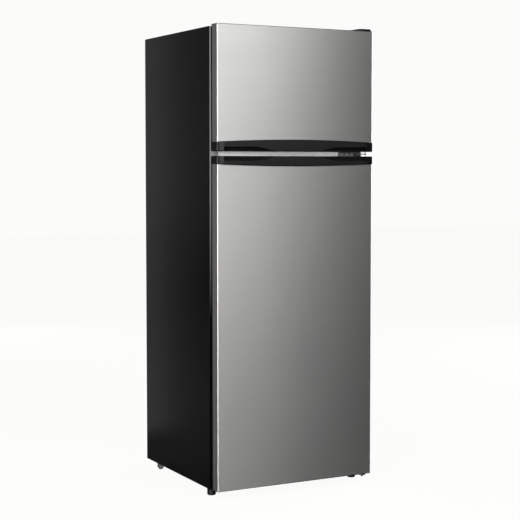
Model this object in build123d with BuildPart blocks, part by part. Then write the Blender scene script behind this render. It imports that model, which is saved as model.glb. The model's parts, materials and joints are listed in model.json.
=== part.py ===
from build123d import *
import os

# Two-door top-freezer refrigerator of the 7.5 cubic foot class, with its doors hinged on the right.
# Millimetres, +Z up, fronts facing -Y. The origin is on the floor, under the middle of the whole box.

os.makedirs("parts", exist_ok=True)

# ---- driving dimensions: the outside ----
width = 545.0                                    # cabinet, and the plastic end caps of the doors
half = width / 2
depth = 566.0                                    # handle face to the rear stand-offs
handle_bulge = 4.5                               # how far a handle stands proud of its steel face
handle_front = -depth / 2
door_front = handle_front + handle_bulge
cabinet_front = door_front + 52.5
cabinet_back = door_front + 541.5
floor_gap = 25.0                                 # underside of the cabinet above the floor
door_bottom = 27.5
fridge_door_top = door_bottom + 1009.5
door_gap = 14.0
freezer_door_bottom = fridge_door_top + door_gap
door_top = door_bottom + 1400.0
cabinet_top = door_top - 3.5

# ---- cabinet walls and compartments ----
sheet = 1.0                                      # painted steel sheet
sheet_bend = 2.0                                 # outside radius of its bends
lining = 1.5                                     # vacuum-formed plastic lining
flange = 30.0                                    # front flange of the cabinet sides
cavity_half = 227.5
cavity_back = cabinet_back - 49.5
fridge_floor = 70.0
fridge_ceiling = 1016.0
freezer_floor = 1071.0
freezer_ceiling = 1374.0
bay_front = cabinet_back - 170.0                 # compressor bay
bay_top = 239.0
step_front = bay_front - 39.0                    # the step that the bay makes inside the fridge
step_top = 281.5
lip_half = half - flange                         # outer edge of the lining's front lip
rail_bottom = 1024.0
rail_top = 1063.0
base_rail_top = 52.5
top_flange_bottom = 1389.0
cavity_corner = 8.0
drain_x = 30.0                                   # drain from the fridge's trough to the drip tray
drain_y = cavity_back - 20.0
drain_radius = 8.0

# ---- doors ----
skin_half = half - sheet
door_corner = 5.0                                # rounded vertical edge of a steel door face
skin_back = door_front + 34.0
cap_back = door_front + 40.0
cap_lip = 1.5                                    # visible edge of the top and bottom caps
cap_body = 12.0
cap_rim = 3.0                                    # rear rim of a handle cap, round the lining
handle_corner = 3.5
handle_sweep = 28.0                              # length over which each end of a handle curves back
handle_recede = 4.0                              # how far back it curves
liner_face = skin_back + lining
liner_half = half - 4.5
dyke_back = cabinet_front + 14.0                 # the raised ring of a door lining
dyke_half = 222.0
dyke_wall = 22.0
bin_half = 198.0
bin_wall = 2.5
seal_half = 252.0
seal_width = 14.0
seal_back = cabinet_front - 0.5
seal_from_gap = 4.0                              # between a seal and the gap between the doors

# ---- hinges: one vertical axis at the right of both doors ----
axis_x = half - 18.5
axis_y = door_front + 25.0
pin_radius = 3.5
running_gap = 0.05
bush_radius = 6.0
plate = 3.0                                      # hinge steel
centre_plate_bottom = (fridge_door_top + freezer_door_bottom - plate) / 2
bottom_plate_bottom = 20.0
top_plate_bottom = door_top + 0.8

# ---- feet, rollers ----
foot_x = half - 21.5
foot_y = cabinet_front + 33.0
foot_radius = 13.3
roller_x = half - 18.0
roller_y = door_front + 470.0
roller_radius = 12.0
roller_width = 10.0
axle_radius = 3.0


# ---- shapes that repeat ----
def block(x, y, z, mode=Mode.ADD):
    """A box between two values along each axis, in the part being built."""
    with Locations(((x[0] + x[1]) / 2, (y[0] + y[1]) / 2, (z[0] + z[1]) / 2)):
        Box(abs(x[1] - x[0]), abs(y[1] - y[0]), abs(z[1] - z[0]), mode=mode)


def post(x, y, radius, z, mode=Mode.ADD):
    """An upright cylinder between two heights."""
    with Locations((x, y, (z[0] + z[1]) / 2)):
        Cylinder(radius, abs(z[1] - z[0]), mode=mode)


def peg_y(x, z, radius, y, mode=Mode.ADD):
    """A cylinder that lies front to back."""
    with Locations((x, (y[0] + y[1]) / 2, z)):
        Cylinder(radius, abs(y[1] - y[0]), rotation=(90, 0, 0), mode=mode)


def peg_x(x, y, z, radius, mode=Mode.ADD):
    """A cylinder that lies from side to side between two values of x."""
    with Locations(((x[0] + x[1]) / 2, y, z)):
        Cylinder(radius, abs(x[1] - x[0]), rotation=(0, 90, 0), mode=mode)


def door_plan(plan_half, front, back, radius, height):
    """A door's outline from above, with its two front corners rounded."""
    with BuildSketch(Plane.XY.offset(height)) as outline:
        with Locations((0, (front + back) / 2)):
            Rectangle(2 * plan_half, back - front)
        fillet(outline.vertices().group_by(Axis.Y)[0], radius)
    return outline.sketch


def side_profile(points, radius, sharp_below_y):
    """A closed outline in the YZ plane, its corners behind a given depth rounded."""
    with BuildSketch(Plane.YZ) as outline:
        with BuildLine():
            Polyline(*points, close=True)
        make_face()
        corners = [v for v in outline.vertices() if v.X > sharp_below_y]
        fillet(corners, radius)
    return outline.sketch


def finish(part, name):
    """Label a finished piece and write it."""
    part.label = name
    export_step(part, f"parts/{name}.step")


# ======================================================================
# Cabinet
# ======================================================================
with BuildPart() as cabinet_shell:
    block((-half, half), (cabinet_front, cabinet_back), (floor_gap, cabinet_top))
    side_bends = cabinet_shell.edges().filter_by(Axis.Y).group_by(Axis.Z)[-1]
    front_bends = cabinet_shell.faces().sort_by(Axis.Y)[0].edges().sort_by(Axis.Z)[1:]
    fillet(side_bends + front_bends, sheet_bend)
    block((-half + sheet, half - sheet), (cabinet_front + sheet, cabinet_back + 1),
          (floor_gap - 1, cabinet_top - sheet), mode=Mode.SUBTRACT)
    block((-lip_half, lip_half), (cabinet_front - 1, cabinet_front + sheet),
          (floor_gap - 1, top_flange_bottom), mode=Mode.SUBTRACT)
finish(cabinet_shell.part, "cabinet_shell")

with BuildPart() as back_panel:
    block((-half + sheet, half - sheet), (cabinet_back - sheet, cabinet_back),
          (bay_top + sheet, cabinet_top - sheet))
    # pressed stiffening beads
    for bead_z in (300.0, 560.0, 820.0, 1080.0, 1340.0):
        block((-180, 180), (cabinet_back, cabinet_back + 1.5), (bead_z - 6, bead_z + 6))
finish(back_panel.part, "back_panel")

nut_radius = 9.0
nut_height = 9.0
with BuildPart() as bottom_panel:
    # a sheet bent up in front of the compressor bay and back over it
    block((-skin_half, skin_half), (cabinet_front + 21, bay_front), (floor_gap, floor_gap + sheet))
    block((-skin_half, skin_half), (bay_front - sheet, bay_front), (floor_gap, bay_top + sheet))
    block((-skin_half, skin_half), (bay_front - sheet, cabinet_back), (bay_top, bay_top + sheet))
    for side in (-1, 1):
        # weld nut of a levelling foot
        post(side * foot_x, foot_y, nut_radius, (floor_gap, floor_gap + nut_height))
        post(side * foot_x, foot_y, 4.0 + running_gap, (floor_gap - 1, floor_gap + 20),
             mode=Mode.SUBTRACT)
    post(drain_x, drain_y, drain_radius, (bay_top - 1, bay_top + 2), mode=Mode.SUBTRACT)
finish(bottom_panel.part, "bottom_panel")

fridge_cavity = [(cabinet_front - 5, fridge_floor), (step_front, fridge_floor),
                 (step_front, step_top), (cavity_back, step_top),
                 (cavity_back, fridge_ceiling), (cabinet_front - 5, fridge_ceiling)]
fridge_outside = [(cabinet_front + sheet, fridge_floor - lining),
                  (step_front + lining, fridge_floor - lining),
                  (step_front + lining, step_top - lining),
                  (cavity_back + lining, step_top - lining),
                  (cavity_back + lining, fridge_ceiling + lining),
                  (cabinet_front + sheet, fridge_ceiling + lining)]
freezer_cavity = [(cabinet_front - 5, freezer_floor), (cavity_back, freezer_floor),
                  (cavity_back, freezer_ceiling), (cabinet_front - 5, freezer_ceiling)]
freezer_outside = [(cabinet_front + sheet, freezer_floor - lining),
                   (cavity_back + lining, freezer_floor - lining),
                   (cavity_back + lining, freezer_ceiling + lining),
                   (cabinet_front + sheet, freezer_ceiling + lining)]
lining_half = cavity_half + lining

with BuildPart() as cabinet_foam:
    block((-skin_half, skin_half), (cabinet_front + sheet, cabinet_back - sheet),
          (floor_gap + sheet, cabinet_top - sheet))
    block((-half, half), (bay_front - sheet, cabinet_back + 1), (0, bay_top + sheet),
          mode=Mode.SUBTRACT)
    extrude(side_profile(fridge_outside, cavity_corner + lining, cabinet_front + 5), amount=lining_half,
            both=True, mode=Mode.SUBTRACT)
    extrude(side_profile(freezer_outside, cavity_corner + lining, cabinet_front + 5),
            amount=lining_half, both=True, mode=Mode.SUBTRACT)
    post(drain_x, drain_y, drain_radius, (bay_top - 5, step_top + 5), mode=Mode.SUBTRACT)
    for side in (-1, 1):
        post(side * foot_x, foot_y, nut_radius, (0, floor_gap + nut_height), mode=Mode.SUBTRACT)
        post(side * foot_x, foot_y, 5.0, (0, floor_gap + 25), mode=Mode.SUBTRACT)
finish(cabinet_foam.part, "cabinet_foam")

rib_inset = 6.0
rib_back = cavity_back - 12.0
rib_front = cabinet_front + 68.0
shelf_levels = (500.0, 740.0)
cover_level = 262.0


def shelf_ribs(level, front, back):
    """A pair of moulded ledges for a shelf, topping out at a level."""
    for side in (-1, 1):
        block((side * (cavity_half - rib_inset), side * (cavity_half + 0.5)), (front, back),
              (level - 5, level))


with BuildPart() as fridge_liner:
    extrude(side_profile(fridge_outside, cavity_corner + lining, cabinet_front + 5), amount=lining_half,
            both=True)
    block((-lip_half, lip_half), (cabinet_front, cabinet_front + sheet), (base_rail_top, rail_bottom))
    extrude(side_profile(fridge_cavity, cavity_corner, cabinet_front), amount=cavity_half, both=True,
            mode=Mode.SUBTRACT)
    for shelf_level in shelf_levels:
        shelf_ribs(shelf_level, rib_front, rib_back)
    shelf_ribs(cover_level, rib_front + 8, step_front - 10)
    # drain trough under the cold plate, moulded in the back wall
    block((-185, 185), (cavity_back - 22, cavity_back + 0.5), (600, 603))
    block((-185, 185), (cavity_back - 24, cavity_back - 21), (600, 618))
    post(drain_x, drain_y, drain_radius, (step_top - 10, step_top + 10), mode=Mode.SUBTRACT)
finish(fridge_liner.part, "fridge_liner")

freezer_shelf_level = 1215.0
with BuildPart() as freezer_liner:
    extrude(side_profile(freezer_outside, cavity_corner + lining, cabinet_front + 5),
            amount=lining_half, both=True)
    block((-lip_half, lip_half), (cabinet_front, cabinet_front + sheet), (rail_top, top_flange_bottom))
    extrude(side_profile(freezer_cavity, cavity_corner, cabinet_front), amount=cavity_half, both=True,
            mode=Mode.SUBTRACT)
    shelf_ribs(freezer_shelf_level, rib_front, rib_back - 10)
finish(freezer_liner.part, "freezer_liner")

with BuildPart() as center_rail:
    block((-lip_half, lip_half), (cabinet_front, cabinet_front + sheet), (rail_bottom, rail_top))
finish(center_rail.part, "center_rail")

with BuildPart() as bottom_rail:
    block((-lip_half, lip_half), (cabinet_front, cabinet_front + sheet), (floor_gap, base_rail_top))
    block((-lip_half, lip_half), (cabinet_front, cabinet_front + 21), (floor_gap, floor_gap + sheet))
finish(bottom_rail.part, "bottom_rail")

# ======================================================================
# Compressor bay and condenser
# ======================================================================
base_plate = 2.5
gland_x = -200.0
gland_z = 48.0
with BuildPart() as compressor_base:
    block((-skin_half, skin_half), (bay_front, cabinet_back - sheet), (floor_gap, floor_gap + base_plate))
    # upturned rear edge with the hole for the cord
    block((-skin_half, -120), (cabinet_back - 3, cabinet_back - sheet), (floor_gap, gland_z + 22))
    peg_y(gland_x, gland_z, 8.0, (cabinet_back - 10, cabinet_back + 5), mode=Mode.SUBTRACT)
    for side in (-1, 1):
        # the two ears that hold a roller's axle
        for ear in (-1, 1):
            ear_x = side * roller_x + ear * (roller_width / 2 + 1.5)
            block((ear_x - 1, ear_x + 1), (roller_y - 9, roller_y + 9), (6, floor_gap))
        peg_x((side * roller_x - 12, side * roller_x + 12), roller_y, roller_radius, axle_radius,
              mode=Mode.SUBTRACT)
finish(compressor_base.part, "compressor_base")

with BuildPart() as roller_axles:
    for side in (-1, 1):
        peg_x((side * roller_x - 8.5, side * roller_x + 8.5), roller_y, roller_radius, axle_radius)
finish(roller_axles.part, "roller_axles")

for side, side_name in ((-1, "left"), (1, "right")):
    with BuildPart() as roller:
        peg_x((side * roller_x - roller_width / 2, side * roller_x + roller_width / 2), roller_y,
              roller_radius, roller_radius)
        chamfer(roller.edges().filter_by(GeomType.CIRCLE), 1.0)
        for face_side in (-1, 1):
            # dished sides that leave a rim and a hub
            rim_x = side * roller_x + face_side * roller_width / 2
            peg_x((rim_x - face_side * 2.0, rim_x + face_side), roller_y, roller_radius, 9.0,
                  mode=Mode.SUBTRACT)
            peg_x((rim_x - face_side * 2.5, rim_x), roller_y, roller_radius, 5.0)
        peg_x((side * roller_x - 9, side * roller_x + 9), roller_y, roller_radius,
              axle_radius + running_gap, mode=Mode.SUBTRACT)
    finish(roller.part, f"{side_name}_roller")

compressor_x = 70.0
compressor_y = bay_front + 84.0
compressor_foot = floor_gap + base_plate + 10.0
pot_bottom = compressor_foot + 2.0
pot_top = compressor_foot + 142.0
pot_radius = 66.0
with BuildPart() as compressor:
    post(compressor_x, compressor_y, pot_radius, (pot_bottom, pot_top))
    fillet(compressor.edges().filter_by(GeomType.CIRCLE), 28.0)
    # welded seam, feet plate and stub for the electrical cover
    post(compressor_x, compressor_y, pot_radius + 4, (pot_bottom + 62, pot_bottom + 67))
    block((compressor_x - 88, compressor_x + 88), (compressor_y - 48, compressor_y + 48),
          (compressor_foot, compressor_foot + 3))
    for grommet_x in (-76, 76):
        for grommet_y in (-36, 36):
            post(compressor_x + grommet_x, compressor_y + grommet_y, 5.0,
                 (compressor_foot - 1, compressor_foot + 4), mode=Mode.SUBTRACT)
finish(compressor.part, "compressor")

with BuildPart() as compressor_grommets:
    for grommet_x in (-76, 76):
        for grommet_y in (-36, 36):
            centre_x = compressor_x + grommet_x
            centre_y = compressor_y + grommet_y
            post(centre_x, centre_y, 10.0, (floor_gap + base_plate, compressor_foot))
            post(centre_x, centre_y, 5.0, (compressor_foot, compressor_foot + 3))
            post(centre_x, centre_y, 8.0, (compressor_foot + 3, compressor_foot + 6))
finish(compressor_grommets.part, "compressor_grommets")

relay_x = compressor_x - pot_radius
with BuildPart() as relay_cover:
    block((relay_x - 34, relay_x + 6), (compressor_y - 26, compressor_y + 26), (75, 128))
    fillet(relay_cover.edges().filter_by(Axis.X), 5.0)
    post(compressor_x, compressor_y, pot_radius, (60, 140), mode=Mode.SUBTRACT)
    post(compressor_x, compressor_y, pot_radius + 4, (pot_bottom + 62, pot_bottom + 67),
         mode=Mode.SUBTRACT)
finish(relay_cover.part, "relay_cover")

tray_bottom = pot_top
with BuildPart() as drip_tray:
    block((compressor_x - 78, compressor_x + 58), (compressor_y - 55, compressor_y + 63),
          (tray_bottom, tray_bottom + 26))
    fillet(drip_tray.edges().filter_by(Axis.Z), 14.0)
    with BuildSketch(Plane.XY.offset(tray_bottom + 2)):
        with Locations((compressor_x - 10, compressor_y + 4)):
            RectangleRounded(131, 113, 11.5)
    extrude(amount=30, mode=Mode.SUBTRACT)
finish(drip_tray.part, "drip_tray")

with BuildPart() as drain_tube:
    post(drain_x, drain_y, drain_radius, (tray_bottom + 14, step_top))
    post(drain_x, drain_y, drain_radius - 1.5, (tray_bottom, step_top + 1), mode=Mode.SUBTRACT)
finish(drain_tube.part, "drain_tube")

with BuildPart() as cord_gland:
    peg_y(gland_x, gland_z, 8.0, (cabinet_back - 3, cabinet_back - sheet))
    peg_y(gland_x, gland_z, 11.0, (cabinet_back - sheet, cabinet_back + 3))
    peg_y(gland_x, gland_z, 11.0, (cabinet_back - 6, cabinet_back - 3))
    peg_y(gland_x, gland_z, 4.5, (cabinet_back - 10, cabinet_back + 5), mode=Mode.SUBTRACT)
finish(cord_gland.part, "cord_gland")

drier_x = -70.0
drier_y = cabinet_back - 60.0
with BuildPart() as filter_drier:
    post(drier_x, drier_y, 9.0, (95, 185))
    fillet(filter_drier.edges().filter_by(GeomType.CIRCLE), 6.0)
    post(drier_x, drier_y, 3.0, (180, 200))
    post(drier_x, drier_y, 1.2, (60, 100))
finish(filter_drier.part, "filter_drier")

condenser_y = cabinet_back + 11.0
coil_half = 205.0
coil_bottom = 320.0
coil_pitch = 56.0
coil_rows = 18
coil_radius = 2.4
coil_top = coil_bottom + coil_pitch * (coil_rows - 1)
wire_radius = 0.8
wire_count = 26
wire_spread = 392.0


def bent_tube(points, bend, radius):
    """A tube of round section along straight runs with rounded corners."""
    with BuildPart(mode=Mode.PRIVATE) as tube:
        with BuildLine() as route:
            FilletPolyline(*points, radius=bend)
        start = route.line @ 0
        with BuildSketch(Plane(origin=start, z_dir=route.line % 0)):
            Circle(radius)
        sweep(path=route.line)
    return tube.part


coil_points = []
for row in range(coil_rows):
    row_z = coil_bottom + row * coil_pitch
    ends = (-coil_half, coil_half) if row % 2 == 0 else (coil_half, -coil_half)
    coil_points.append((ends[0], condenser_y, row_z))
    coil_points.append((ends[1], condenser_y, row_z))

with BuildPart() as condenser:
    add(bent_tube(coil_points, coil_pitch / 2 - 0.01, coil_radius))
    for wire in range(wire_count):
        wire_x = -wire_spread / 2 + wire * wire_spread / (wire_count - 1)
        for wire_side in (-1, 1):
            wire_y = condenser_y + wire_side * (coil_radius + wire_radius - 0.1)
            post(wire_x, wire_y, wire_radius, (coil_bottom - 14, coil_top + 14))
finish(condenser.part, "condenser")

with BuildPart() as condenser_brackets:
    for side in (-1, 1):
        for bracket_z in (coil_bottom + coil_pitch * 1.5, coil_top - coil_pitch * 1.5):
            # a stand-off foot, a web beside the tube bends and a buffer at the rear
            block((side * 238, side * 258), (cabinet_back, cabinet_back + 2),
                  (bracket_z - 15, bracket_z + 15))
            block((side * 238, side * 240), (cabinet_back, depth / 2), (bracket_z - 15, bracket_z + 15))
finish(condenser_brackets.part, "condenser_brackets")

pipe_radius = 3.0
with BuildPart() as refrigerant_pipes:
    # discharge pipe from the pot to the foot of the condenser
    add(bent_tube([(compressor_x + pot_radius - 4, compressor_y, 115), (170, compressor_y, 115),
                   (170, compressor_y + 60, 115), (170, compressor_y + 60, 215)], 9.0, pipe_radius))
    # suction pipe up to the bay's roof
    add(bent_tube([(compressor_x + pot_radius - 8, compressor_y - 20, 130),
                   (195, compressor_y - 20, 130), (195, compressor_y - 20, bay_top)], 14.0,
                  pipe_radius + 1))
    post(compressor_x, compressor_y, pot_radius, (pot_bottom + 30, pot_top - 30), mode=Mode.SUBTRACT)
finish(refrigerant_pipes.part, "refrigerant_pipes")

# ======================================================================
# Inside the compartments
# ======================================================================
with BuildPart() as freezer_evaporator:
    # roll-bonded aluminium plate: floor and back of the freezer
    block((-215, 215), (cabinet_front + 30, cavity_back - 4), (freezer_floor + 3, freezer_floor + 5))
    block((-215, 215), (cavity_back - 6, cavity_back - 4), (freezer_floor + 3, freezer_ceiling - 12))
    for channel in range(6):
        channel_y = cabinet_front + 65 + channel * 58
        block((-190, 190), (channel_y - 4, channel_y + 4), (freezer_floor + 5, freezer_floor + 6.5))
    for channel in range(4):
        channel_z = freezer_floor + 60 + channel * 60
        block((-190, 190), (cavity_back - 7.5, cavity_back - 6), (channel_z - 4, channel_z + 4))
    for side in (-1, 1):
        block((side * 200, side * 205), (cabinet_front + 35, cabinet_front + 45),
              (freezer_floor, freezer_floor + 3))
        peg_y(side * 200, freezer_ceiling - 25, 4.0, (cavity_back - 4, cavity_back))
finish(freezer_evaporator.part, "freezer_evaporator")

with BuildPart() as fridge_evaporator:
    block((-170, 170), (cavity_back - 6, cavity_back - 4), (650, 950))
    for channel in range(6):
        channel_z = 675 + channel * 50
        block((-150, 150), (cavity_back - 7.5, cavity_back - 6), (channel_z - 4, channel_z + 4))
    for side in (-1, 1):
        for peg_z in (665, 935):
            peg_y(side * 160, peg_z, 4.0, (cavity_back - 6, cavity_back))
finish(fridge_evaporator.part, "fridge_evaporator")

control_front = cabinet_front + 21.0
control_back = cabinet_front + 250.0
control_bottom = fridge_ceiling - 42.0
control_half = 105.0
switch_x = 70.0
switch_z = fridge_ceiling - 18.0
switch_radius = 5.0
switch_tip = dyke_back - 20.0
knob_x = 55.0
knob_y = control_front + 55.0
knob_top = control_bottom - 0.5
spindle_radius = 3.0
lamp_y = control_front + 160.0
with BuildPart() as control_box:
    block((-control_half, control_half), (control_front, control_back), (control_bottom, fridge_ceiling))
    fillet(control_box.edges().filter_by(Axis.Z), 10.0)
    fillet(control_box.faces().sort_by(Axis.Z)[0].edges(), 4.0)
    # lamp well, spindle hole and plunger hole
    block((-72, 72), (lamp_y - 42, lamp_y + 42), (control_bottom - 1, fridge_ceiling - 10),
          mode=Mode.SUBTRACT)
    post(knob_x, knob_y, spindle_radius + running_gap, (control_bottom - 1, control_bottom + 16),
         mode=Mode.SUBTRACT)
    peg_y(switch_x, switch_z, switch_radius + running_gap, (control_front - 1, control_front + 26),
          mode=Mode.SUBTRACT)
finish(control_box.part, "control_box")

with BuildPart() as lamp_lens:
    block((-71.5, 71.5), (lamp_y - 41.5, lamp_y + 41.5), (control_bottom - 2, control_bottom + 10))
    fillet(lamp_lens.faces().sort_by(Axis.Z)[0].edges(), 1.5)
    block((-69.5, 69.5), (lamp_y - 39.5, lamp_y + 39.5), (control_bottom, control_bottom + 11),
          mode=Mode.SUBTRACT)
    for clip_side in (-1, 1):
        block((clip_side * 71.5, clip_side * 72), (lamp_y - 8, lamp_y + 8),
              (control_bottom + 2, control_bottom + 8))
finish(lamp_lens.part, "lamp_lens")

with BuildPart() as lamp_bulb:
    bulb_z = fridge_ceiling - 21.0
    with Locations((5, lamp_y, bulb_z)):
        Sphere(10.0)
    peg_x((5, 40), lamp_y, bulb_z, 6.5)
    peg_x((38, 72), lamp_y, bulb_z, 9.0)
finish(lamp_bulb.part, "lamp_bulb")

with BuildPart() as thermostat_knob:
    post(knob_x, knob_y, 17.0, (knob_top - 13, knob_top))
    chamfer(thermostat_knob.faces().sort_by(Axis.Z)[0].edges(), 2.0)
    # finger bar across the dial, and the spindle
    for side in (-1, 1):
        block((knob_x + side * 4, knob_x + side * 20), (knob_y - 20, knob_y + 20),
              (knob_top - 14, knob_top - 5), mode=Mode.SUBTRACT)
    post(knob_x, knob_y, spindle_radius, (knob_top, control_bottom + 14))
finish(thermostat_knob.part, "thermostat_knob")

with BuildPart() as light_switch_plunger:
    peg_y(switch_x, switch_z, switch_radius, (dyke_back + 1.0, control_front + 18))
    fillet(light_switch_plunger.faces().sort_by(Axis.Y)[0].edges(), 2.0)
finish(light_switch_plunger.part, "light_switch_plunger")

shelf_half = cavity_half - 2.0
shelf_back = cavity_back - 30.0
shelf_front = rib_front + 2.0
glass = 4.0
for shelf_name, shelf_level in (("lower_shelf", shelf_levels[0]), ("upper_shelf", shelf_levels[1])):
    with BuildPart() as shelf_glass:
        block((-shelf_half, shelf_half), (shelf_front + 6, shelf_back - 4),
              (shelf_level, shelf_level + glass))
    finish(shelf_glass.part, shelf_name)

with BuildPart() as shelf_trims:
    for shelf_level in shelf_levels:
        # a moulded strip along the front and one along the back of each glass
        for trim in ((shelf_front, shelf_front + 6), (shelf_back - 4, shelf_back)):
            block((-shelf_half, shelf_half), trim, (shelf_level, shelf_level + glass + 5))
finish(shelf_trims.part, "shelf_trims")

cover_front = rib_front + 10.0
with BuildPart() as crisper_cover:
    block((-shelf_half, shelf_half), (cover_front, step_front - 1), (cover_level, cover_level + glass))
finish(crisper_cover.part, "crisper_cover")

shelf_wire = 2.5
with BuildPart() as freezer_shelf:
    # wire shelf: a rod frame with thinner wires front to back across it
    wire_level = freezer_shelf_level + shelf_wire
    for rod_y in (shelf_front + 4, (shelf_front + rib_back) / 2, rib_back - 14):
        peg_x((-shelf_half, shelf_half), rod_y, wire_level, shelf_wire)
    for wire in range(18):
        wire_x = -shelf_half + 12 + wire * (2 * shelf_half - 24) / 17
        peg_y(wire_x, wire_level + 3.4, 1.5, (shelf_front, rib_back - 10))
finish(freezer_shelf.part, "freezer_shelf")

drawer_half = cavity_half - 8.0
drawer_front = cabinet_front + 80.5
drawer_back = step_front - 6.0
drawer_bottom = fridge_floor + 1.0
drawer_top = cover_level - 8.0
drawer_wall = 2.5
with BuildPart() as crisper_drawer:
    block((-drawer_half, drawer_half), (drawer_front, drawer_back), (drawer_bottom, drawer_top))
    fillet(crisper_drawer.edges().filter_by(Axis.Z), 12.0)
    fillet(crisper_drawer.faces().sort_by(Axis.Z)[0].edges(), 6.0)
    with BuildSketch(Plane.XY.offset(drawer_bottom + drawer_wall)):
        with Locations((0, (drawer_front + drawer_back) / 2)):
            RectangleRounded(2 * (drawer_half - drawer_wall), drawer_back - drawer_front - 2 * drawer_wall,
                             12.0 - drawer_wall)
    extrude(amount=drawer_top, mode=Mode.SUBTRACT)
    # pull lip along the top of the front
    block((-110, 110), (drawer_front - 12, drawer_front + 1), (drawer_top - 10, drawer_top - 7))
    block((-110, 110), (drawer_front - 12, drawer_front - 9.5), (drawer_top - 20, drawer_top - 8))
finish(crisper_drawer.part, "crisper_drawer")

# ======================================================================
# Levelling feet
# ======================================================================
foot_body = 21.0
foot_stud = 4.0
for side, side_name in ((-1, "left"), (1, "right")):
    with BuildPart() as foot:
        post(side * foot_x, foot_y, foot_radius, (0, foot_body))
        chamfer(foot.edges().filter_by(GeomType.CIRCLE).sort_by(Axis.Z)[0], 2.0)
        fillet(foot.edges().filter_by(GeomType.CIRCLE).sort_by(Axis.Z)[-1], 1.5)
        post(side * foot_x, foot_y, foot_stud, (foot_body, floor_gap + 20))
    finish(foot.part, f"{side_name}_foot")

# ======================================================================
# Hinges
# ======================================================================
tab_front = cabinet_front - plate
hinge_right = half - 6.5
centre_tab_left = 178.0
centre_arm_left = 234.0
centre_boss = 11.0
end_boss = 12.0                                  # round ends of the top and bottom arms
foot_left = 206.0
arm_left = 236.0
step_y = (-218.0, -212.0)                        # the step up from the top hinge's foot to its arm
screw_radius = 2.5
head_radius = 4.5
head_height = 2.4
centre_screws = (187.0, 206.0, 225.0)
centre_screw_z = (fridge_door_top + freezer_door_bottom) / 2
bottom_screws = (226.0, 256.0)
bottom_screw_z = 34.0
top_screws = ((214.0, -180.0), (238.0, -205.0), (255.0, -170.0))

with BuildPart() as center_hinge:
    block((centre_tab_left, hinge_right), (tab_front, cabinet_front),
          (centre_screw_z - 9, centre_screw_z + 9))
    block((centre_arm_left, hinge_right), (axis_y, cabinet_front),
          (centre_plate_bottom, centre_plate_bottom + plate))
    post(axis_x, axis_y, centre_boss, (centre_plate_bottom, centre_plate_bottom + plate))
    post(axis_x, axis_y, pin_radius, (fridge_door_top - 16, freezer_door_bottom + 18))
    for screw_x in centre_screws:
        peg_y(screw_x, centre_screw_z, screw_radius, (tab_front - 1, cabinet_front + 1),
              mode=Mode.SUBTRACT)
finish(center_hinge.part, "center_hinge")

with BuildPart() as bottom_hinge:
    block((214, hinge_right), (tab_front, cabinet_front), (bottom_plate_bottom, 42))
    block((226, hinge_right), (axis_y, cabinet_front), (bottom_plate_bottom, bottom_plate_bottom + plate))
    post(axis_x, axis_y, end_boss, (bottom_plate_bottom, bottom_plate_bottom + plate))
    post(axis_x, axis_y, pin_radius, (bottom_plate_bottom - 6, door_bottom + 11))
    for screw_x in bottom_screws:
        peg_y(screw_x, bottom_screw_z, screw_radius, (tab_front - 1, cabinet_front + 1),
              mode=Mode.SUBTRACT)
finish(bottom_hinge.part, "bottom_hinge")

with BuildPart() as top_hinge:
    # the mounting foot on the cabinet, stepped up to the arm over the door
    block((foot_left, hinge_right), (step_y[0], -160), (cabinet_top, cabinet_top + plate))
    block((arm_left, hinge_right), step_y, (cabinet_top, top_plate_bottom + plate))
    block((arm_left, hinge_right), (axis_y, step_y[1]), (top_plate_bottom, top_plate_bottom + plate))
    post(axis_x, axis_y, end_boss, (top_plate_bottom, top_plate_bottom + plate))
    post(axis_x, axis_y, pin_radius, (door_top - 12, top_plate_bottom))
    for screw_x, screw_y in top_screws:
        post(screw_x, screw_y, screw_radius, (cabinet_top - 1, cabinet_top + 5), mode=Mode.SUBTRACT)
finish(top_hinge.part, "top_hinge")

cover_left = 203.0
cover_right = half - 1.0
cover_front_y = door_front + 8.0
cover_back_y = -150.0
cover_wall = 1.8
cover_height = 1435.0
cover_fall = 5.5                                 # how much lower its left end is


def hood_profile(inset, y):
    """The hood's section from the front: level over the pin, falling away to the left."""
    left = cover_left + inset
    right = cover_right - inset
    top = cover_height - inset
    with BuildSketch(Plane.XZ.offset(-y)) as hood:
        with BuildLine():
            Polyline((left, top - cover_fall), (left, cabinet_top), (right, cabinet_top),
                     (right, top), (axis_x - 12, top))
            TangentArc((axis_x - 12, top), (left, top - cover_fall), tangent=(-1, 0))
        make_face()
    return hood.sketch


with BuildPart() as top_hinge_cover:
    # a moulded hood over the hinge, stepped up in front where it passes over the door
    extrude(hood_profile(0, cover_front_y), amount=cover_front_y - cover_back_y)
    fillet(top_hinge_cover.edges().filter_by(Axis.Z), 6.0)
    fillet(top_hinge_cover.faces().sort_by(Axis.Z)[-1].edges().sort_by(Axis.X)[-1], 2.5)
    extrude(hood_profile(cover_wall, cover_front_y + cover_wall),
            amount=cover_front_y - cover_back_y + 2 * cover_wall, mode=Mode.SUBTRACT)
    block((cover_left - 1, cover_right + 1), (cover_front_y - 1, cabinet_front + 0.2),
          (cabinet_top - 1, door_top + 0.5), mode=Mode.SUBTRACT)
finish(top_hinge_cover.part, "top_hinge_cover")


def screw_y(x, y, z):
    """A pan-head screw that goes in backwards, its head's underside at y."""
    head_face = y - head_height
    peg_y(x, z, head_radius, (head_face, y))
    peg_y(x, z, screw_radius, (y, y + plate))
    # cross recess
    block((x - 3, x + 3), (head_face, head_face + 1), (z - 0.6, z + 0.6), mode=Mode.SUBTRACT)
    block((x - 0.6, x + 0.6), (head_face, head_face + 1), (z - 3, z + 3), mode=Mode.SUBTRACT)


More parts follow.
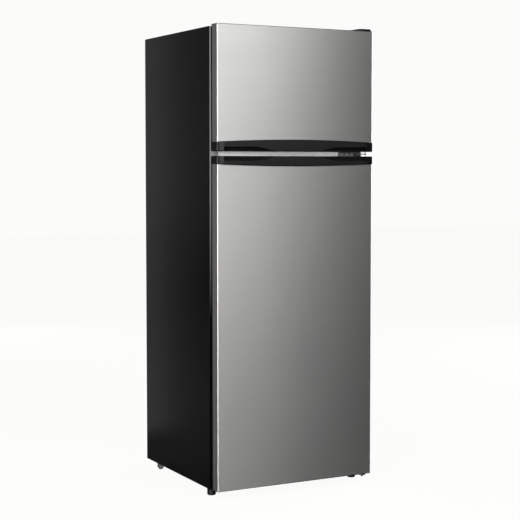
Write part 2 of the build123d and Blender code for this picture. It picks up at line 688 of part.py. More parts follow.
with BuildPart() as hinge_screws:
    for screw_x in centre_screws:
        screw_y(screw_x, tab_front, centre_screw_z)
    for screw_x in bottom_screws:
        screw_y(screw_x, tab_front, bottom_screw_z)
    for screw_x, screw_depth in top_screws:
        post(screw_x, screw_depth, head_radius, (cabinet_top + plate, cabinet_top + plate + 1.5))
        post(screw_x, screw_depth, screw_radius, (cabinet_top, cabinet_top + plate))
finish(hinge_screws.part, "hinge_screws")


# ======================================================================
# Doors
# ======================================================================
def gasket(name, z0, z1):
    """A magnetic seal ring: a wide bellows against the door and a narrower magnet strip behind it."""
    middle = (liner_face + seal_back) / 2
    with BuildPart() as seal:
        block((-seal_half, seal_half), (liner_face, middle), (z0, z1))
        block((-seal_half + 2, seal_half - 2), (middle, seal_back), (z0 + 2, z1 - 2))
        block((-seal_half + seal_width, seal_half - seal_width), (liner_face - 1, middle),
              (z0 + seal_width, z1 - seal_width), mode=Mode.SUBTRACT)
        block((-seal_half + seal_width - 2, seal_half - seal_width + 2), (middle, seal_back + 1),
              (z0 + seal_width - 2, z1 - seal_width + 2), mode=Mode.SUBTRACT)
    finish(seal.part, name)


def door_liner(name, z0, z1, dyke_z0, dyke_z1):
    """A vacuum-formed door lining: a flat sheet with a raised hollow ring round the bins."""
    with BuildPart() as liner:
        block((-liner_half, liner_half), (skin_back, liner_face), (z0, z1))
        block((-dyke_half, dyke_half), (skin_back, dyke_back), (dyke_z0, dyke_z1))
        fillet(liner.faces().sort_by(Axis.Y)[-1].edges(), 6.0)
        block((-dyke_half + dyke_wall, dyke_half - dyke_wall), (liner_face, dyke_back + 1),
              (dyke_z0 + dyke_wall, dyke_z1 - dyke_wall), mode=Mode.SUBTRACT)
        dyke_hollow(dyke_z0, dyke_z1, Mode.SUBTRACT)
    finish(liner.part, name)


def dyke_hollow(dyke_z0, dyke_z1, mode):
    """The foam-filled space inside the raised ring, added or cut away."""
    for side in (-1, 1):
        block((side * (dyke_half - lining - 3), side * (dyke_half - dyke_wall + lining + 1)),
              (skin_back, dyke_back - 6), (dyke_z0 + 5, dyke_z1 - 5), mode=mode)
    for low, high in ((dyke_z0 + 5, dyke_z0 + dyke_wall - 3), (dyke_z1 - dyke_wall + 3, dyke_z1 - 5)):
        block((-dyke_half + lining + 3, dyke_half - lining - 3), (skin_back, dyke_back - 6),
              (low, high), mode=mode)


def door_foam(name, z0, z1, dyke_z0, dyke_z1):
    """The foam between the steel face and the lining."""
    with BuildPart() as foam:
        extrude(door_plan(skin_half - sheet, door_front + sheet, skin_back, door_corner - 1, z0),
                amount=z1 - z0)
        dyke_hollow(dyke_z0, dyke_z1, Mode.ADD)
    finish(foam.part, name)


def door_skin(name, z0, z1):
    """The bent steel face of a door with its two side returns."""
    with BuildPart() as skin:
        extrude(door_plan(skin_half, door_front, skin_back, door_corner, z0), amount=z1 - z0)
        extrude(door_plan(skin_half - sheet, door_front + sheet, skin_back + 5, door_corner - 1, z0 - 1),
                amount=z1 - z0 + 2, mode=Mode.SUBTRACT)
    finish(skin.part, name)


def end_cap(name, edge, inward):
    """The plain cap of a door: a thin visible lip and a plug body; inward is +1 or -1 along Z."""
    with BuildPart() as cap:
        extrude(door_plan(skin_half, door_front, cap_back, door_corner, min(edge, edge + inward * cap_lip)),
                amount=cap_lip)
        extrude(door_plan(skin_half - sheet, door_front + sheet, skin_back, door_corner - 1,
                          min(edge + inward * cap_lip, edge + inward * (cap_lip + cap_body))),
                amount=cap_body)
        post(axis_x, axis_y, bush_radius, (edge - 20, edge + 20), mode=Mode.SUBTRACT)
    finish(cap.part, name)


pocket_outer = half - 22.5                       # finger pockets, measured from the middle
pocket_flat = half - 120.0
pocket_inner = half - 190.0
pocket_height = 14.0
pocket_depth = 20.5
cap_reach = 60.0                                 # of the blank that a handle cap is cut from


def handle_plan(height):
    """A handle's outline from above: flat in front, its ends swept back to rounded corners."""
    sweep_x = half - handle_sweep
    corner_y = handle_front + handle_recede
    with BuildSketch(Plane.XY.offset(height)) as outline:
        with BuildLine():
            Line((-sweep_x, handle_front), (sweep_x, handle_front))
            TangentArc((sweep_x, handle_front), (half, corner_y), tangent=(1, 0))
            Polyline((half, corner_y), (half, cap_back), (-half, cap_back), (-half, corner_y))
            TangentArc((-sweep_x, handle_front), (-half, corner_y), tangent=(-1, 0))
        make_face()
        corners = [v for v in outline.vertices() if abs(v.Y - corner_y) < 0.01]
        fillet(corners, handle_corner)
    return outline.sketch


def handle_cap(name, edge, inward, end_height, middle_height, body, hollow):
    """The black end cap at the gap between the doors: a plug body with a proud front band, whose far
    edge is arched, and two finger pockets that open at the gap. inward is +1 or -1 along Z."""
    def level(offset):
        return edge + inward * offset

    with BuildPart() as cap:
        low = min(level(0), level(cap_reach))
        extrude(handle_plan(low), amount=cap_reach)
        with BuildSketch(Plane.XZ) as beyond_arch:
            with BuildLine():
                ThreePointArc((-half - 5, level(end_height)), (0, level(middle_height)),
                              (half + 5, level(end_height)))
                Polyline((half + 5, level(end_height)), (half + 5, level(80)),
                         (-half - 5, level(80)), (-half - 5, level(end_height)))
            make_face()
        extrude(amount=400, both=True, mode=Mode.SUBTRACT)
        # soften the arched edge and the edge at the gap
        front_edges = cap.edges().filter_by(lambda e: e.center().Y < handle_front + 0.01)
        fillet(front_edges.filter_by(lambda e: e.length > width / 2), 2.5)
        # room for the steel face and the foam above the plug body
        extrude(door_plan(skin_half, door_front, cap_back + 5, door_corner,
                          min(level(body), level(cap_reach + 1))), amount=cap_reach + 1 - body,
                mode=Mode.SUBTRACT)
        for side in (-1, 1):
            with BuildSketch(Plane.XZ.offset(-handle_front + 1)) as pocket:
                with BuildLine():
                    Polyline((side * pocket_inner, level(-5)), (side * pocket_outer, level(-5)),
                             (side * pocket_outer, level(pocket_height)),
                             (side * pocket_flat, level(pocket_height)))
                    TangentArc((side * pocket_flat, level(pocket_height)),
                               (side * pocket_inner, level(0)), tangent=(-side, 0))
                    Line((side * pocket_inner, level(0)), (side * pocket_inner, level(-5)))
                make_face()
            extrude(amount=-pocket_depth - 1, mode=Mode.SUBTRACT)
            # the space behind the front wall, for the fingertips
            block((side * (pocket_flat + 4), side * (pocket_outer - 4)),
                  (door_front + 3, handle_front + pocket_depth),
                  (level(pocket_height - 1), level(hollow)), mode=Mode.SUBTRACT)
        # the lining and the seal sit inside a rim at the back
        block((-liner_half, liner_half), (skin_back, cap_back + 1), (level(cap_rim), level(cap_reach + 1)),
              mode=Mode.SUBTRACT)
        post(axis_x, axis_y, bush_radius, (level(-1), level(body + 1)), mode=Mode.SUBTRACT)
    finish(cap.part, name)


def add_bush(edge, inward, length, rim):
    """A hinge bush with a rim outside the door; inward points into the door."""
    post(axis_x, axis_y, bush_radius, (edge, edge + inward * length))
    post(axis_x, axis_y, bush_radius + 2.5, (edge - inward * rim, edge))
    post(axis_x, axis_y, pin_radius + running_gap, (edge - inward * (rim + 1), edge + inward * (length + 1)),
         mode=Mode.SUBTRACT)


def add_bin(front_y, back_y, z0, height):
    """An open door bin with rounded inner corners and a hanging lug at each end."""
    block((-bin_half, bin_half), (front_y, back_y), (z0, z0 + height))
    with BuildSketch(Plane.XY.offset(z0 + bin_wall)) as inside:
        with Locations((0, (front_y + back_y) / 2)):
            RectangleRounded(2 * (bin_half - bin_wall), back_y - front_y - 2 * bin_wall, 14.0)
    extrude(inside.sketch, amount=height, mode=Mode.SUBTRACT)
    for side in (-1, 1):
        block((side * bin_half, side * (bin_half + 2)), (front_y + 4, front_y + 20), (z0 + 10, z0 + 40))


upper_body = 24.0
lower_body = 21.0
bin_front = liner_face + 0.5
fridge_bin_depth = 72.0
freezer_bin_depth = 58.0
freezer_bin_levels = (1104.0, 1238.0)
fridge_bin_levels = (430.0, 700.0)
bottle_bin_level = 110.0

# ---- freezer door ----
freezer_z0 = freezer_door_bottom + upper_body
freezer_z1 = door_top - cap_lip
freezer_dyke = (freezer_floor + 7, freezer_ceiling - 7)
door_skin("freezer_door_skin", freezer_z0, freezer_z1)
door_foam("freezer_door_foam", freezer_z0, freezer_z1 - cap_body, *freezer_dyke)
door_liner("freezer_door_liner", freezer_door_bottom + cap_rim, door_top - 6, *freezer_dyke)
gasket("freezer_gasket", freezer_door_bottom + seal_from_gap, door_top - 25.5)
end_cap("freezer_top_cap", door_top, -1)
handle_cap("freezer_handle", freezer_door_bottom, 1, 28.5, 36.5, upper_body, 20.0)

with BuildPart() as freezer_bins:
    for bin_z in freezer_bin_levels:
        add_bin(bin_front, bin_front + freezer_bin_depth, bin_z, 62.0)
finish(freezer_bins.part, "freezer_bins")

with BuildPart() as freezer_bushes:
    add_bush(freezer_door_bottom, 1, 20.0, freezer_door_bottom - centre_plate_bottom - plate - 0.4)
    add_bush(door_top, -1, 13.0, 0.4)
finish(freezer_bushes.part, "freezer_bushes")

# ---- fridge door ----
fridge_z0 = door_bottom + cap_lip
fridge_z1 = fridge_door_top - lower_body
fridge_dyke = (fridge_floor + 7, fridge_ceiling - 7)
door_skin("fridge_door_skin", fridge_z0, fridge_z1)
door_foam("fridge_door_foam", fridge_z0 + cap_body, fridge_z1, *fridge_dyke)
door_liner("fridge_door_liner", door_bottom + 6, fridge_door_top - cap_rim, *fridge_dyke)
gasket("fridge_gasket", door_bottom + 16.5, fridge_door_top - seal_from_gap)
end_cap("fridge_bottom_cap", door_bottom, 1)
handle_cap("fridge_handle", fridge_door_top, -1, 24.5, 30.5, lower_body, 17.0)

with BuildPart() as bottle_bin:
    add_bin(bin_front, bin_front + fridge_bin_depth, bottle_bin_level, 125.0)
finish(bottle_bin.part, "bottle_bin")

with BuildPart() as fridge_bins:
    for bin_z in fridge_bin_levels:
        add_bin(bin_front, bin_front + fridge_bin_depth, bin_z, 80.0)
finish(fridge_bins.part, "fridge_bins")

with BuildPart() as fridge_bushes:
    add_bush(fridge_door_top, -1, 18.0, centre_plate_bottom - fridge_door_top - 0.4)
    add_bush(door_bottom, 1, 13.0, door_bottom - bottom_plate_bottom - plate - 0.4)
finish(fridge_bushes.part, "fridge_bushes")
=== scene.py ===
import json
import math

import bpy
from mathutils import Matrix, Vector


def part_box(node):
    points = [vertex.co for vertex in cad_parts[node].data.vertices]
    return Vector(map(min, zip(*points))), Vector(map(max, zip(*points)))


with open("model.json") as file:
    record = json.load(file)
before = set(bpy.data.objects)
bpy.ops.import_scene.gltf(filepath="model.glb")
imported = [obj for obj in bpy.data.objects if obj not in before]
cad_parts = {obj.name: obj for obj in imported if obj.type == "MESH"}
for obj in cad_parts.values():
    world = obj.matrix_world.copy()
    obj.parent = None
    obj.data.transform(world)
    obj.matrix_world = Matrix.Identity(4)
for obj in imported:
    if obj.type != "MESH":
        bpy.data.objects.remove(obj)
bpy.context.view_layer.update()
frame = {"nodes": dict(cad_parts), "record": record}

NODES = frame["nodes"]
SLOT_OF = {part["node"]: part["material_slot"] for part in frame["record"]["subparts"]}


# ---------------------------------------------------------------- materials
class Surface:
    """A procedural material: a Principled shader, with helpers that add variation and relief to it.

    Lengths are in metres, in the shared frame. A factor is a socket that runs from 0 to 1.
    """

    def __init__(self, name, colour=(0.8, 0.8, 0.8), **sockets):
        self.material = bpy.data.materials.new(name)
        self.material.use_nodes = True
        self.tree = self.material.node_tree
        self.shader = self.tree.nodes["Principled BSDF"]
        self.colour = (*colour, 1.0)
        self.shader.inputs["Base Color"].default_value = self.colour
        for socket, value in sockets.items():
            self.shader.inputs[socket.replace("_", " ")].default_value = value
        self.place = self.node("ShaderNodeTexCoord").outputs["Object"]
        self.bump = None

    def node(self, kind, **values):
        """A new node; each value goes to its input of that name, or else to the node's own setting."""
        made = self.tree.nodes.new(kind)
        for key, value in values.items():
            if key in made.inputs:
                made.inputs[key].default_value = value
            else:
                setattr(made, key, value)
        return made

    def link(self, source, target):
        self.tree.links.new(source, target)

    def stretched(self, stretch):
        """Object coordinates, scaled along each axis."""
        mapping = self.node("ShaderNodeMapping")
        mapping.inputs["Scale"].default_value = stretch
        self.link(self.place, mapping.inputs["Vector"])
        return mapping.outputs["Vector"]

    def noise(self, scale, stretch=(1, 1, 1), detail=3.0, roughness=0.55):
        """A cloudy factor; the scale is in features per metre."""
        made = self.node("ShaderNodeTexNoise", Scale=scale, Detail=detail, Roughness=roughness)
        self.link(self.stretched(stretch), made.inputs["Vector"])
        return made.outputs["Fac"]

    def cells(self, scale, output="Distance"):
        """A pattern of cells; the scale is in cells per metre."""
        made = self.node("ShaderNodeTexVoronoi", Scale=scale)
        self.link(self.stretched((1, 1, 1)), made.inputs["Vector"])
        return made.outputs[output]

    def between(self, fac, low, high, from_low=0.0, from_high=1.0):
        """A factor mapped to a range of values."""
        made = self.node("ShaderNodeMapRange")
        for key, value in (("From Min", from_low), ("From Max", from_high), ("To Min", low), ("To Max", high)):
            made.inputs[key].default_value = value
        self.link(fac, made.inputs["Value"])
        return made.outputs["Result"]

    def calculate(self, operation, *values):
        made = self.node("ShaderNodeMath", operation=operation)
        for socket, value in zip(made.inputs, values):
            self.link(value, socket)
        return made.outputs["Value"]

    def product(self, first, *others):
        for other in others:
            first = self.calculate("MULTIPLY", first, other)
        return first

    def along(self, axis, low, high, mirrored=False):
        """A factor of 0 at one place along an axis and 1 at another; mirrored measures out from the middle."""
        split = self.node("ShaderNodeSeparateXYZ")
        self.link(self.place, split.inputs["Vector"])
        distance = split.outputs[axis]
        if mirrored:
            distance = self.calculate("ABSOLUTE", distance)
        return self.between(distance, 0.0, 1.0, low, high)

    def vary_colour(self, fac, other, low=0.0, high=1.0):
        """Mixes the colour so far towards another one, as the factor goes from low to high."""
        made = self.node("ShaderNodeMix", data_type="RGBA")
        already = self.shader.inputs["Base Color"]
        if already.is_linked:
            self.link(already.links[0].from_socket, made.inputs["A"])
        else:
            made.inputs["A"].default_value = self.colour
        made.inputs["B"].default_value = (*other, 1.0)
        self.link(self.between(fac, 0.0, 1.0, low, high), made.inputs["Factor"])
        self.link(made.outputs["Result"], already)

    def vary_roughness(self, fac, low, high):
        """Roughness from low to high over the middle half of the factor."""
        self.link(self.between(fac, low, high, 0.25, 0.75), self.shader.inputs["Roughness"])

    def relief(self, height, strength, distance):
        """Bump from a height pattern; several reliefs add up."""
        made = self.node("ShaderNodeBump", Strength=strength, Distance=distance)
        self.link(height, made.inputs["Height"])
        if self.bump:
            self.link(self.bump, made.inputs["Normal"])
        self.bump = made.outputs["Normal"]
        self.link(self.bump, self.shader.inputs["Normal"])

    def stretch_gloss_upright(self, amount):
        """Anisotropic gloss, drawn out along Z as on sheet brushed from side to side."""
        upright = self.node("ShaderNodeCombineXYZ", Z=1.0)
        self.link(upright.outputs["Vector"], self.shader.inputs["Tangent"])
        self.shader.inputs["Anisotropic"].default_value = amount


def stainless():
    """Horizontally brushed stainless sheet under a clear film."""
    steel = Surface("brushed_stainless", (0.55, 0.545, 0.53), Metallic=1.0)
    hairlines = steel.noise(1.0, stretch=(9, 60, 2600), detail=4.0, roughness=0.7)
    long_lines = steel.noise(1.0, stretch=(2.5, 20, 620), detail=2.0)
    clouds = steel.noise(3.0, stretch=(1, 1, 0.6), detail=2.0)
    steel.vary_colour(hairlines, (0.62, 0.615, 0.6), 0.35, 0.75)
    steel.vary_colour(clouds, (0.53, 0.53, 0.525), 0.35, 0.8)
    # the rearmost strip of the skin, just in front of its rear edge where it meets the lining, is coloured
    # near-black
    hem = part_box("fridge_door_skin")[1].y
    dark_edge_start, dark_edge_full = hem - 0.0024, hem - 0.0014
    steel.vary_colour(steel.along("Y", dark_edge_start, dark_edge_full), (0.008, 0.008, 0.008))
    steel.vary_roughness(long_lines, 0.4, 0.46)
    steel.relief(hairlines, 0.04, 0.0002)
    steel.stretch_gloss_upright(0.9)
    return steel.material


def enamel(name, colour, lighter, roughness, peel, gloss=0.5, flange=None):
    """Sprayed enamel with a fine orange peel and faint dust, and another colour on the cabinet's flange, which
    is partly grey paint and partly a painted highlight.
    """
    paint = Surface(name, colour, Specular_IOR_Level=gloss)
    skin = paint.noise(950.0, detail=2.0)
    dust = paint.noise(7.0, detail=5.0, roughness=0.65)
    paint.vary_colour(dust, lighter, 0.4, 0.85)
    if flange:
        # the grey on the flange is partly two-tone paint and partly a painted highlight
        paint.vary_colour(flange_grey_and_painted_highlight(paint), flange)
    paint.vary_roughness(dust, roughness - 0.02, roughness + 0.02)
    paint.relief(skin, peel, 0.0004)
    return paint.material


def flange_grey_and_painted_highlight(paint):
    """A factor of 1 on the strip of the cabinet's front flange that shows beside the doors and between them.
    Beside the doors the strip is kept to the outer edge and fades out towards the bottom: a painted highlight
    from above, with painted shade from the doors on the flange further in.
    """
    low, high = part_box("cabinet_shell")
    face_start, face_end = low.y + 0.0011, low.y + 0.0005
    front_face = paint.along("Y", face_start, face_end)
    corner_width, strip_end, blend = 0.0016, 0.0060, 0.001
    inside_corner = paint.along("X", high.x - corner_width, high.x - corner_width - blend, mirrored=True)
    # the strip stops 6 mm in from the edge; the flange further in stays black as painted shade from the doors
    clear_of_painted_door_shade = paint.along("X", high.x - strip_end - blend, high.x - strip_end, mirrored=True)
    # the strip fades out towards the bottom of the cabinet: painted light from above
    fade_start, fade_end = 0.55, 0.95
    painted_light_from_above = paint.along("Z", fade_start, fade_end)
    gap_bottom, gap_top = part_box("fridge_handle")[1].z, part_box("freezer_handle")[0].z
    behind_doors = 0.005
    between_doors = paint.product(
        paint.along("Z", gap_bottom - behind_doors - blend, gap_bottom - behind_doors),
        paint.along("Z", gap_top + behind_doors + blend, gap_top + behind_doors))
    shown = paint.calculate("MAXIMUM", clear_of_painted_door_shade, between_doors)
    return paint.product(front_face, inside_corner, painted_light_from_above, shown)


def moulded_plastic(name, colour, roughness, speckle, tint=None):
    """Injection-moulded plastic: a fine spark-eroded texture and slow gloss changes."""
    plastic = Surface(name, colour)
    texture = plastic.noise(1800.0, detail=2.0)
    flow = plastic.noise(11.0, stretch=(1, 1, 0.4), detail=3.0)
    a_little_lighter = tuple(min(1.0, c * 1.18 + 0.002) for c in colour)
    plastic.vary_colour(flow, tint or a_little_lighter, 0.35, 0.8)
    plastic.vary_roughness(flow, roughness - 0.03, roughness + 0.07)
    plastic.relief(texture, speckle, 0.0003)
    return plastic.material


def handle_plastic():
    """Black moulding of the handle bands."""
    black = Surface("handle_black", (0.0035, 0.0035, 0.0037))
    texture = black.noise(1500.0, detail=2.0)
    wear = black.noise(14.0, stretch=(1, 1, 2), detail=4.0)
    black.vary_colour(wear, (0.006, 0.006, 0.0063), 0.4, 0.85)
    # the fronts are satin, the pockets and the returns behind them have a matt grain
    front_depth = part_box("fridge_door_skin")[0].y
    set_back = black.along("Y", front_depth, front_depth + 0.002)
    black.link(black.between(set_back, 0.26, 0.6), black.shader.inputs["Roughness"])
    black.link(black.between(set_back, 0.26, 0.06), black.shader.inputs["Specular IOR Level"])
    black.relief(texture, 0.06, 0.0003)
    return black.material


def clear_plastic():
    """Thin see-through polystyrene of the bins and the crisper, faintly blue and slightly hazy."""
    clear = Surface("clear_plastic", (0.78, 0.86, 0.9), Alpha=0.28)
    haze = clear.noise(40.0, stretch=(1, 1, 0.3), detail=3.0)
    scuffs = clear.noise(420.0, detail=2.0)
    clear.vary_colour(haze, (0.74, 0.83, 0.88), 0.4, 0.8)
    clear.vary_roughness(haze, 0.12, 0.2)
    clear.relief(scuffs, 0.012, 0.0002)
    return clear.material


def shelf_glass():
    """Toughened glass with a green body and faint roller waves."""
    glass = Surface("shelf_glass", (0.82, 0.94, 0.89), Transmission_Weight=0.95, IOR=1.52)
    waves = glass.noise(9.0, stretch=(1, 0.4, 1), detail=1.0)
    glass.vary_colour(waves, (0.76, 0.9, 0.84), 0.35, 0.7)
    glass.vary_roughness(waves, 0.01, 0.05)
    glass.relief(waves, 0.02, 0.001)
    return glass.material


def zinc_plate():
    """Galvanised sheet with its crystal spangle."""
    zinc = Surface("galvanised_sheet", (0.5, 0.51, 0.52), Metallic=1.0)
    spangle = zinc.node("ShaderNodeRGBToBW")
    zinc.link(zinc.cells(90.0, output="Color"), spangle.inputs["Color"])
    zinc.vary_colour(spangle.outputs["Val"], (0.62, 0.63, 0.64), 0.2, 0.9)
    zinc.vary_roughness(spangle.outputs["Val"], 0.36, 0.56)
    zinc.relief(zinc.noise(160.0), 0.06, 0.0003)
    return zinc.material


def plated_steel(name, colour, roughness, grain=0.05, spread=0.1, worn=0.72):
    """Plated pressings and screws, with rolling marks; worn is how dark the marks are."""
    steel = Surface(name, colour, Metallic=1.0)
    marks = steel.noise(30.0, stretch=(1, 1, 9), detail=4.0)
    steel.vary_colour(marks, tuple(c * worn for c in colour), 0.4, 0.75)
    steel.vary_roughness(marks, roughness - 0.6 * spread, roughness + spread)
    steel.relief(steel.noise(900.0, detail=2.0), grain, 0.0002)
    return steel.material


def copper():
    """Drawn copper pipe, browned by the torch in places."""
    pipe = Surface("copper_pipe", (0.72, 0.36, 0.2), Metallic=1.0)
    heat = pipe.noise(26.0, detail=4.0)
    pipe.vary_colour(heat, (0.3, 0.12, 0.07), 0.45, 0.75)
    pipe.vary_roughness(heat, 0.26, 0.5)
    pipe.relief(pipe.noise(700.0), 0.05, 0.0002)
    return pipe.material


def aluminium_plate():
    """Rolled aluminium of the evaporator plates."""
    plate = Surface("aluminium_plate", (0.78, 0.79, 0.8), Metallic=1.0)
    rolled = plate.noise(1.0, stretch=(400, 18, 18), detail=3.0)
    frost = plate.noise(12.0, detail=4.0)
    plate.vary_colour(frost, (0.88, 0.89, 0.9), 0.4, 0.8)
    plate.vary_roughness(rolled, 0.34, 0.5)
    plate.relief(rolled, 0.05, 0.0002)
    return plate.material


def lining():
    """Glossy white vacuum-formed polystyrene."""
    white = Surface("white_lining", (0.74, 0.75, 0.75))
    peel = white.noise(240.0, detail=2.0)
    ageing = white.noise(4.0, detail=3.0)
    white.vary_colour(ageing, (0.7, 0.71, 0.7), 0.4, 0.8)
    white.vary_roughness(ageing, 0.28, 0.4)
    white.relief(peel, 0.05, 0.0005)
    return white.material


def rubber(ribbed=None):
    """Dark flexible seal, dusted with talc; a door seal has mitred ribs that run round its frame."""
    seal = Surface(f"{ribbed or 'seal'}_rubber", (0.02, 0.02, 0.021))
    talc = seal.noise(60.0, detail=5.0, roughness=0.7)
    seal.vary_colour(talc, (0.034, 0.034, 0.035), 0.45, 0.8)
    seal.vary_roughness(talc, 0.55, 0.72)
    seal.relief(seal.noise(1300.0), 0.12, 0.0003)
    if ribbed:
        low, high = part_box(ribbed)
        from_sides = seal.along("X", high.x, high.x - 1.0, mirrored=True)
        from_bottom = seal.along("Z", low.z, low.z + 1.0)
        from_top = seal.along("Z", high.z, high.z - 1.0)
        inset = seal.calculate("MINIMUM", seal.calculate("MINIMUM", from_sides, from_bottom), from_top)
        rib_pitch, seal_width = 0.0036, 0.05
        turns = seal.between(inset, 0.0, 2 * math.pi * seal_width / rib_pitch, 0.0, seal_width)
        ribs = seal.between(seal.calculate("SINE", turns), 0.0, 1.0, -1.0, 1.0)
        seal.relief(ribs, 0.8, 0.0012)
        # the crests are painted lighter than the grooves: painted highlight on the crests and painted shade in
        # the grooves
        seal.vary_colour(ribs, (0.05, 0.05, 0.051), 0.3, 1.0)
    return seal.material


def foam():
    """Rigid polyurethane foam with open cells where it is cut."""
    fill = Surface("rigid_foam", (0.8, 0.68, 0.4), Roughness=0.9)
    pores = fill.cells(700.0)
    fill.vary_colour(fill.noise(20.0), (0.7, 0.56, 0.3), 0.3, 0.8)
    # a dark tape closes the joint between the skin and the lining at the doors' sides
    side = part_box("fridge_door_skin")[1].x
    tape_start, tape_end = side - 0.006, side - 0.005
    fill.vary_colour(fill.along("X", tape_start, tape_end, mirrored=True), (0.015, 0.015, 0.015))
    fill.relief(pores, 0.5, 0.0008)
    return fill.material


def frosted_lens():
    """Frosted cover of the lamp, with prismatic lines."""
    lens = Surface("lamp_lens", (0.93, 0.93, 0.9), Roughness=0.45, Transmission_Weight=0.6, IOR=1.49)
    lines = lens.noise(1.0, stretch=(500, 8, 8), detail=1.0)
    lens.vary_colour(lens.noise(30.0), (0.86, 0.87, 0.85), 0.4, 0.8)
    lens.relief(lines, 0.25, 0.0005)
    return lens.material


MATERIALS = {
    "cabinet_paint": enamel("cabinet_enamel", (0.002, 0.002, 0.0021), (0.0034, 0.0034, 0.0035),
                            roughness=0.25, peel=0.09, gloss=0.06, flange=(0.24, 0.24, 0.238)),
    "back_paint": enamel("back_enamel", (0.05, 0.05, 0.053), (0.07, 0.07, 0.073), roughness=0.5, peel=0.14),
    "compressor_black": enamel("compressor_enamel", (0.014, 0.014, 0.014), (0.03, 0.028, 0.026),
                               roughness=0.2, peel=0.2),
    "condenser_black": enamel("condenser_enamel", (0.022, 0.022, 0.023), (0.04, 0.04, 0.042),
                              roughness=0.34, peel=0.16),
    "rail_steel": plated_steel("rail_steel", (0.74, 0.74, 0.73), roughness=0.2, grain=0.001, spread=0.02,
                               worn=0.92),
    "hinge_steel": plated_steel("hinge_steel", (0.2, 0.2, 0.205), roughness=0.4),
    "screw_steel": plated_steel("screw_steel", (0.4, 0.4, 0.41), roughness=0.28),
    "cap_black": moulded_plastic("cap_black", (0.007, 0.007, 0.0073), roughness=0.36, speckle=0.12),
    "bin_plastic": moulded_plastic("white_moulding", (0.78, 0.79, 0.8), roughness=0.38, speckle=0.07,
                                   tint=(0.82, 0.83, 0.83)),
    "wire": moulded_plastic("white_wire_coating", (0.82, 0.82, 0.82), roughness=0.3, speckle=0.1,
                            tint=(0.86, 0.86, 0.85)),
    "roller": moulded_plastic("roller_plastic", (0.16, 0.16, 0.155), roughness=0.4, speckle=0.2),
    "handle_black": handle_plastic(),
    "clear_plastic": clear_plastic(),
    "stainless": stainless(),
    "galvanised": zinc_plate(),
    "aluminium_plate": aluminium_plate(),
    "copper": copper(),
    "liner_white": lining(),
    "seal": rubber(),
    "foam": foam(),
    "lens": frosted_lens(),
    "glass": shelf_glass(),
}

for node_name, node_object in NODES.items():
    node_object.data.materials.clear()
    node_object.data.materials.append(MATERIALS[SLOT_OF[node_name]])
for gasket in ("freezer_gasket", "fridge_gasket"):
    NODES[gasket].data.materials[0] = rubber(ribbed=gasket)


# ---------------------------------------------------------------- softened edges on pressed and moulded parts
EDGE_ROUNDING = {        # bevel width in metres
    0.0003: ("center_rail",),
    0.0005: ("center_hinge", "bottom_hinge", "top_hinge", "freezer_top_cap", "fridge_bottom_cap"),
    0.0006: ("freezer_handle", "fridge_handle", "lower_shelf", "upper_shelf", "crisper_cover"),
    0.0008: ("cabinet_shell", "control_box", "crisper_drawer", "freezer_bins", "fridge_bins", "bottle_bin",
             "relay_cover", "drip_tray"),
    0.0012: ("shelf_trims",),
}
SHARP_EDGE = math.radians(50)
for width, pieces in EDGE_ROUNDING.items():
    for node_name in pieces:
        bevel = NODES[node_name].modifiers.new("edge", "BEVEL")
        bevel.width = width
        bevel.segments = 2
        bevel.limit_method = "ANGLE"
        bevel.angle_limit = SHARP_EDGE
        bevel.use_clamp_overlap = True


# ---------------------------------------------------------------- studio
def show_camera(tree, output, shown, otherwise):
    """Shows one shader to the camera, and another to reflections and bounced light."""
    ray = tree.nodes.new("ShaderNodeLightPath")
    choose = tree.nodes.new("ShaderNodeMixShader")
    tree.links.new(ray.outputs["Is Camera Ray"], choose.inputs["Fac"])
    tree.links.new(otherwise, choose.inputs[1])
    tree.links.new(shown, choose.inputs[2])
    tree.links.new(choose.outputs["Shader"], tree.nodes[output].inputs["Surface"])


def studio_floor():
    """A plain pale floor, darker to reflections, most of all in front of the doors."""
    reach = 14.0
    corners = [(-reach, -reach, 0), (reach, -reach, 0), (reach, reach, 0), (-reach, reach, 0)]
    mesh = bpy.data.meshes.new("studio_floor")
    mesh.from_pydata(corners, [], [(0, 1, 2, 3)])
    floor = bpy.data.objects.new("studio_floor", mesh)
    bpy.context.collection.objects.link(floor)
    pale = Surface("studio_floor")
    dark_end, light_start = -0.4, 0.1
    reflected = pale.node("ShaderNodeBsdfDiffuse")
    pale.link(pale.between(pale.along("Y", dark_end, light_start), 0.05, 0.22), reflected.inputs["Color"])
    white = pale.node("ShaderNodeBsdfDiffuse", Color=(0.9, 0.9, 0.9, 1.0))
    glow = pale.node("ShaderNodeEmission", Color=(1.0, 1.0, 0.99, 1.0), Strength=0.99)
    lit = pale.node("ShaderNodeMixShader", Fac=0.04)
    pale.link(glow.outputs["Emission"], lit.inputs[1])
    pale.link(white.outputs["BSDF"], lit.inputs[2])
    show_camera(pale.tree, "Material Output", lit.outputs["Shader"], reflected.outputs["BSDF"])
    mesh.materials.append(pale.material)


def studio_world():
    """A pale backdrop for the camera, and a dim surround for reflections and bounced light."""
    world = bpy.data.worlds.new("studio")
    world.use_nodes = True
    bpy.context.scene.world = world
    tree = world.node_tree
    surround = tree.nodes["Background"]
    surround.inputs["Color"].default_value = (0.9, 0.92, 0.95, 1.0)
    surround.inputs["Strength"].default_value = 0.03
    backdrop = tree.nodes.new("ShaderNodeBackground")
    backdrop.inputs["Color"].default_value = (1.0, 1.0, 0.99, 1.0)
    backdrop.inputs["Strength"].default_value = 0.965
    show_camera(tree, "World Output", backdrop.outputs["Background"], surround.outputs["Background"])


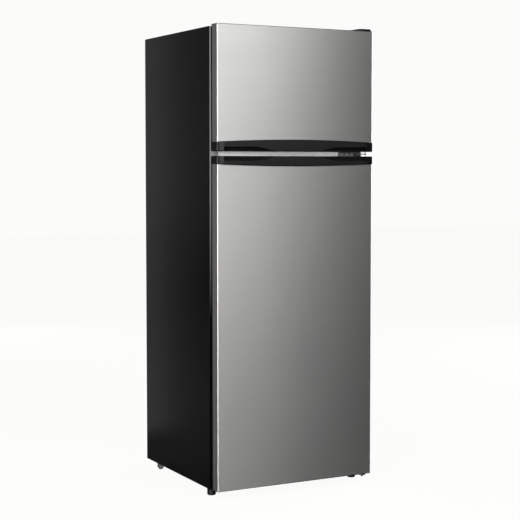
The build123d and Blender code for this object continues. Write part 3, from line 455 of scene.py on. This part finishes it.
def softbox(name, place, target, width, height, power):
    """A rectangular light that faces a point and is out of the camera's sight."""
    light = bpy.data.lights.new(name, "AREA")
    light.shape = "RECTANGLE"
    light.size = width
    light.size_y = height
    light.energy = power
    lamp = bpy.data.objects.new(name, light)
    bpy.context.collection.objects.link(lamp)
    lamp.location = place
    lamp.rotation_mode = "QUATERNION"
    lamp.rotation_quaternion = (Vector(target) - Vector(place)).to_track_quat("-Z", "Y")
    lamp.visible_camera = False


def camera():
    """The viewing angle: from the front left, a little above the middle, looking slightly down."""
    looking_down, looking_right = math.radians(3.452), math.radians(27.72)
    data = bpy.data.cameras.new("camera")
    data.sensor_width = 36.0
    data.lens = 91.315
    data.shift_y = -0.03
    eye = bpy.data.objects.new("camera", data)
    bpy.context.collection.objects.link(eye)
    eye.location = (-1.9787, -3.8010, 1.0106)
    eye.rotation_euler = (math.radians(90) - looking_down, 0.0, -looking_right)
    bpy.context.scene.camera = eye


DOORS = (0.0, -0.28, 0.9)
HANDLES = (0.0, -0.28, 1.04)
MIDDLE = (0.0, 0.0, 0.8)
LIGHTS = (        # name, place, what it faces, width, height, power in watts
    ("front_softbox", (0.49, -3.50, 2.42), DOORS, 2.6, 2.0, 74),
    ("level_card", (1.15, -3.15, 1.06), HANDLES, 2.0, 0.26, 1.6),
    ("handle_card", (0.30, -3.3, 1.06), HANDLES, 0.5, 0.3, 4.0),
    ("left_front_softbox", (-2.37, -2.13, 1.05), MIDDLE, 0.5, 3.0, 145),
    ("left_softbox", (-3.41, 0.3, 1.53), MIDDLE, 1.6, 2.4, 6),
    ("left_strip", (-0.50, 0.80, 0.75), (-0.27, 0.1, 0.75), 0.15, 1.9, 0.58),
    ("low_left_strip", (-0.50, 0.80, 0.15), (-0.27, 0.1, 0.15), 0.15, 0.3, 0.2),
    ("rear_left_softbox", (-1.47, 2.54, 1.6), MIDDLE, 0.8, 1.9, 0.85),
    ("rear_softbox", (0.0, 4.2, 0.78), MIDDLE, 1.2, 1.25, 24),
    ("right_softbox", (3.8, 1.3, 1.6), MIDDLE, 2.4, 2.4, 120),
    ("top_softbox", (0.0, -0.4, 4.2), (0.0, 0.0, 0.0), 3.0, 3.0, 15),
)
for row in LIGHTS:
    softbox(*row)
studio_floor()
studio_world()
camera()
bpy.context.scene.view_settings.view_transform = "Standard"
